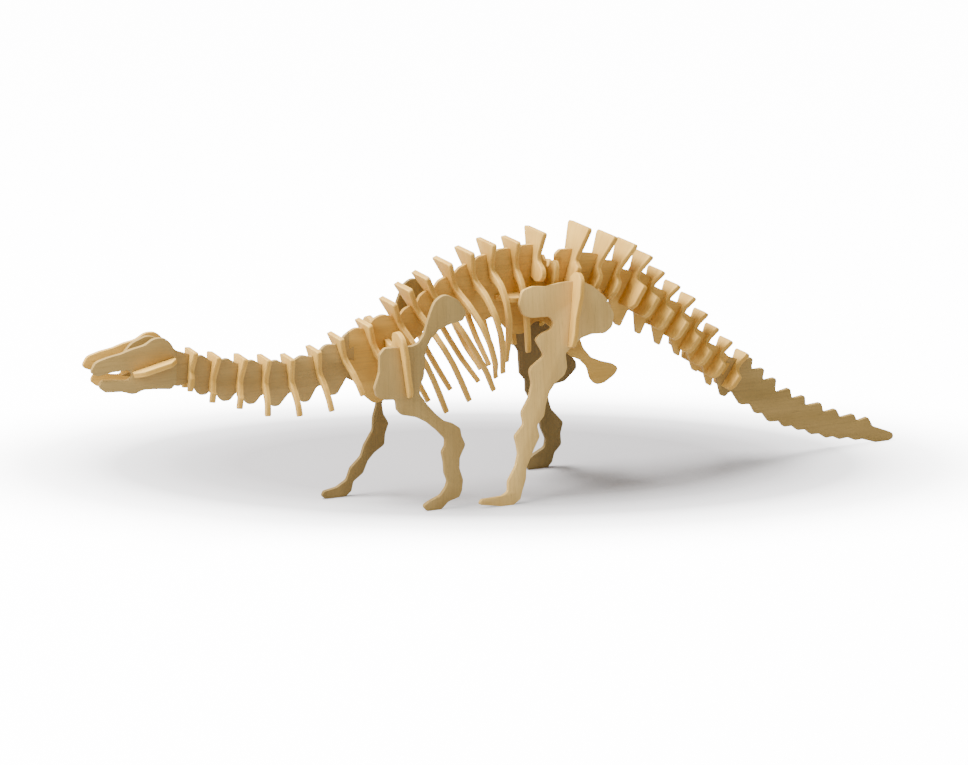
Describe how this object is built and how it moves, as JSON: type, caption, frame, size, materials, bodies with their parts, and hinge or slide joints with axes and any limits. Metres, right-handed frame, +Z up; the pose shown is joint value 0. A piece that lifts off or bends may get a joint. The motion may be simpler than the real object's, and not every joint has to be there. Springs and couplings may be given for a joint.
{
  "type": "wooden dinosaur skeleton puzzle",
  "caption": "Long-necked dinosaur skeleton slotted together from flat plywood plates: skull, neck, ribs, tail and four legs lift off a flat backbone.",
  "frame": {"origin": "middle of the bounding box in X and Y, on the floor under the soles", "axes": "+X from the head to the tail along the backbone, +Y to the model's right side, +Z up"},
  "size_m": [0.5412, 0.0694, 0.1624],
  "materials": {
    "basswood": "bare sanded basswood plywood, cut edges a little darker",
    "dark_basswood": "bare sanded basswood plywood, greyer sheet"
  },
  "bodies": {
    "backbone": {"neck_plate": "basswood", "back_plate": "basswood", "tail_plate": "dark_basswood", "tail_end_plate": "dark_basswood", "pelvis_shelf": "basswood"},
    "skull_left": {"skull_left": "basswood"},
    "skull_right": {"skull_right": "basswood"},
    "skull_cross_plate": {"skull_cross_plate": "basswood"},
    "neck_vertebra_1": {"neck_vertebra_1": "basswood"},
    "neck_vertebra_2": {"neck_vertebra_2": "basswood"},
    "neck_vertebra_3": {"neck_vertebra_3": "basswood"},
    "neck_vertebra_4": {"neck_vertebra_4": "basswood"},
    "neck_vertebra_5": {"neck_vertebra_5": "basswood"},
    "neck_vertebra_6": {"neck_vertebra_6": "basswood"},
    "neck_vertebra_7": {"neck_vertebra_7": "basswood"},
    "rib_plate_1": {"rib_plate_1": "basswood"},
    "rib_plate_2": {"rib_plate_2": "basswood"},
    "rib_plate_3": {"rib_plate_3": "basswood"},
    "rib_plate_4": {"rib_plate_4": "basswood"},
    "rib_plate_5": {"rib_plate_5": "basswood"},
    "rib_plate_6": {"rib_plate_6": "basswood"},
    "rib_plate_7": {"rib_plate_7": "basswood"},
    "rib_plate_8": {"rib_plate_8": "basswood"},
    "rib_plate_9": {"rib_plate_9": "basswood"},
    "tail_vertebra_1": {"tail_vertebra_1": "basswood"},
    "tail_vertebra_2": {"tail_vertebra_2": "basswood"},
    "tail_vertebra_3": {"tail_vertebra_3": "basswood"},
    "tail_vertebra_4": {"tail_vertebra_4": "basswood"},
    "tail_vertebra_5": {"tail_vertebra_5": "basswood"},
    "tail_vertebra_6": {"tail_vertebra_6": "basswood"},
    "tail_vertebra_7": {"tail_vertebra_7": "basswood"},
    "tail_vertebra_8": {"tail_vertebra_8": "basswood"},
    "tail_vertebra_9": {"tail_vertebra_9": "basswood"},
    "tail_vertebra_10": {"tail_vertebra_10": "basswood"},
    "tail_vertebra_11": {"tail_vertebra_11": "basswood"},
    "shoulder_cross_plate": {"shoulder_cross_plate": "basswood"},
    "sacral_cross_plate": {"sacral_cross_plate": "basswood"},
    "hip_cross_plate": {"hip_cross_plate": "basswood"},
    "foreleg_left": {"foreleg_left": "basswood"},
    "foreleg_right": {"foreleg_right": "basswood"},
    "hind_leg_left": {"hind_leg_left": "basswood"},
    "hind_leg_right": {"hind_leg_right": "basswood"}
  },
  "joints": [
    {"name": "neck_vertebra_1_lift", "type": "slide", "parent": "backbone", "child": "neck_vertebra_1", "axis": [0.1392, 0, 0.9903], "range_m": [0, 0.021]},
    {"name": "neck_vertebra_2_lift", "type": "slide", "parent": "backbone", "child": "neck_vertebra_2", "axis": [0.1736, 0, 0.9848], "range_m": [0, 0.025]},
    {"name": "neck_vertebra_3_lift", "type": "slide", "parent": "backbone", "child": "neck_vertebra_3", "axis": [0.1564, 0, 0.9877], "range_m": [0, 0.0275]},
    {"name": "neck_vertebra_4_lift", "type": "slide", "parent": "backbone", "child": "neck_vertebra_4", "axis": [0.0698, 0, 0.9976], "range_m": [0, 0.031]},
    {"name": "neck_vertebra_5_lift", "type": "slide", "parent": "backbone", "child": "neck_vertebra_5", "axis": [-0.0698, 0, 0.9976], "range_m": [0, 0.0314]},
    {"name": "neck_vertebra_6_lift", "type": "slide", "parent": "backbone", "child": "neck_vertebra_6", "axis": [-0.1564, 0, 0.9877], "range_m": [0, 0.0338]},
    {"name": "neck_vertebra_7_lift", "type": "slide", "parent": "backbone", "child": "neck_vertebra_7", "axis": [-0.309, 0, 0.9511], "range_m": [0, 0.0338]},
    {"name": "rib_plate_1_lift", "type": "slide", "parent": "backbone", "child": "rib_plate_1", "axis": [-0.342, 0, 0.9397], "range_m": [0, 0.035]},
    {"name": "rib_plate_2_lift", "type": "slide", "parent": "backbone", "child": "rib_plate_2", "axis": [-0.4226, 0, 0.9063], "range_m": [0, 0.07]},
    {"name": "rib_plate_3_lift", "type": "slide", "parent": "backbone", "child": "rib_plate_3", "axis": [-0.4617, 0, 0.887], "range_m": [0, 0.074]},
    {"name": "rib_plate_4_lift", "type": "slide", "parent": "backbone", "child": "rib_plate_4", "axis": [-0.5075, 0, 0.8616], "range_m": [0, 0.079]},
    {"name": "rib_plate_5_lift", "type": "slide", "parent": "backbone", "child": "rib_plate_5", "axis": [-0.3827, 0, 0.9239], "range_m": [0, 0.073]},
    {"name": "rib_plate_6_lift", "type": "slide", "parent": "backbone", "child": "rib_plate_6", "axis": [-0.2672, 0, 0.9636], "range_m": [0, 0.073]},
    {"name": "rib_plate_7_lift", "type": "slide", "parent": "backbone", "child": "rib_plate_7", "axis": [-0.1219, 0, 0.9925], "range_m": [0, 0.068]},
    {"name": "rib_plate_8_lift", "type": "slide", "parent": "backbone", "child": "rib_plate_8", "axis": [-0.1045, 0, 0.9945], "range_m": [0, 0.063]},
    {"name": "rib_plate_9_lift", "type": "slide", "parent": "backbone", "child": "rib_plate_9", "axis": [0.1045, 0, 0.9945], "range_m": [0, 0.024]},
    {"name": "tail_vertebra_1_lift", "type": "slide", "parent": "backbone", "child": "tail_vertebra_1", "axis": [0.2924, 0, 0.9563], "range_m": [0, 0.0235]},
    {"name": "tail_vertebra_2_lift", "type": "slide", "parent": "backbone", "child": "tail_vertebra_2", "axis": [0.4067, 0, 0.9135], "range_m": [0, 0.026]},
    {"name": "tail_vertebra_3_lift", "type": "slide", "parent": "backbone", "child": "tail_vertebra_3", "axis": [0.4384, 0, 0.8988], "range_m": [0, 0.0254]},
    {"name": "tail_vertebra_4_lift", "type": "slide", "parent": "backbone", "child": "tail_vertebra_4", "axis": [0.5, 0, 0.866], "range_m": [0, 0.0285]},
    {"name": "tail_vertebra_5_lift", "type": "slide", "parent": "backbone", "child": "tail_vertebra_5", "axis": [0.5299, 0, 0.848], "range_m": [0, 0.0245]},
    {"name": "tail_vertebra_6_lift", "type": "slide", "parent": "backbone", "child": "tail_vertebra_6", "axis": [0.5592, 0, 0.829], "range_m": [0, 0.024]},
    {"name": "tail_vertebra_7_lift", "type": "slide", "parent": "backbone", "child": "tail_vertebra_7", "axis": [0.5736, 0, 0.8192], "range_m": [0, 0.023]},
    {"name": "tail_vertebra_8_lift", "type": "slide", "parent": "backbone", "child": "tail_vertebra_8", "axis": [0.5736, 0, 0.8192], "range_m": [0, 0.0215]},
    {"name": "tail_vertebra_9_lift", "type": "slide", "parent": "backbone", "child": "tail_vertebra_9", "axis": [0.5736, 0, 0.8192], "range_m": [0, 0.0205]},
    {"name": "tail_vertebra_10_lift", "type": "slide", "parent": "backbone", "child": "tail_vertebra_10", "axis": [0.5736, 0, 0.8192], "range_m": [0, 0.02]},
    {"name": "tail_vertebra_11_lift", "type": "slide", "parent": "backbone", "child": "tail_vertebra_11", "axis": [0.5736, 0, 0.8192], "range_m": [0, 0.0195]},
    {"name": "sacral_plate_lift", "type": "slide", "parent": "backbone", "child": "sacral_cross_plate", "axis": [0.1045, 0, 0.9945], "range_m": [0, 0.016]},
    {"name": "shoulder_plate_drop", "type": "slide", "parent": "backbone", "child": "shoulder_cross_plate", "axis": [0.1392, 0, -0.9903], "range_m": [0, 0.03]},
    {"name": "hip_plate_drop", "type": "slide", "parent": "backbone", "child": "hip_cross_plate", "axis": [-0.1392, 0, -0.9903], "range_m": [0, 0.027]},
    {"name": "foreleg_left_drop", "type": "slide", "parent": "shoulder_cross_plate", "child": "foreleg_left", "axis": [0.1392, 0, -0.9903], "range_m": [0, 0.034]},
    {"name": "foreleg_right_drop", "type": "slide", "parent": "shoulder_cross_plate", "child": "foreleg_right", "axis": [0.1392, 0, -0.9903], "range_m": [0, 0.034]},
    {"name": "hind_leg_left_drop", "type": "slide", "parent": "hip_cross_plate", "child": "hind_leg_left", "axis": [-0.1382, -0.1207, -0.983], "range_m": [0, 0.041]},
    {"name": "hind_leg_right_drop", "type": "slide", "parent": "hip_cross_plate", "child": "hind_leg_right", "axis": [-0.1382, 0.1207, -0.983], "range_m": [0, 0.041]},
    {"name": "skull_cross_plate_slide", "type": "slide", "parent": "backbone", "child": "skull_cross_plate", "axis": [-0.9744, 0, -0.225], "range_m": [0, 0.034]},
    {"name": "skull_left_slide", "type": "slide", "parent": "skull_cross_plate", "child": "skull_left", "axis": [-0.9744, 0, -0.225], "range_m": [0, 0.029]},
    {"name": "skull_right_slide", "type": "slide", "parent": "skull_cross_plate", "child": "skull_right", "axis": [-0.9744, 0, -0.225], "range_m": [0, 0.029]}
  ]
}
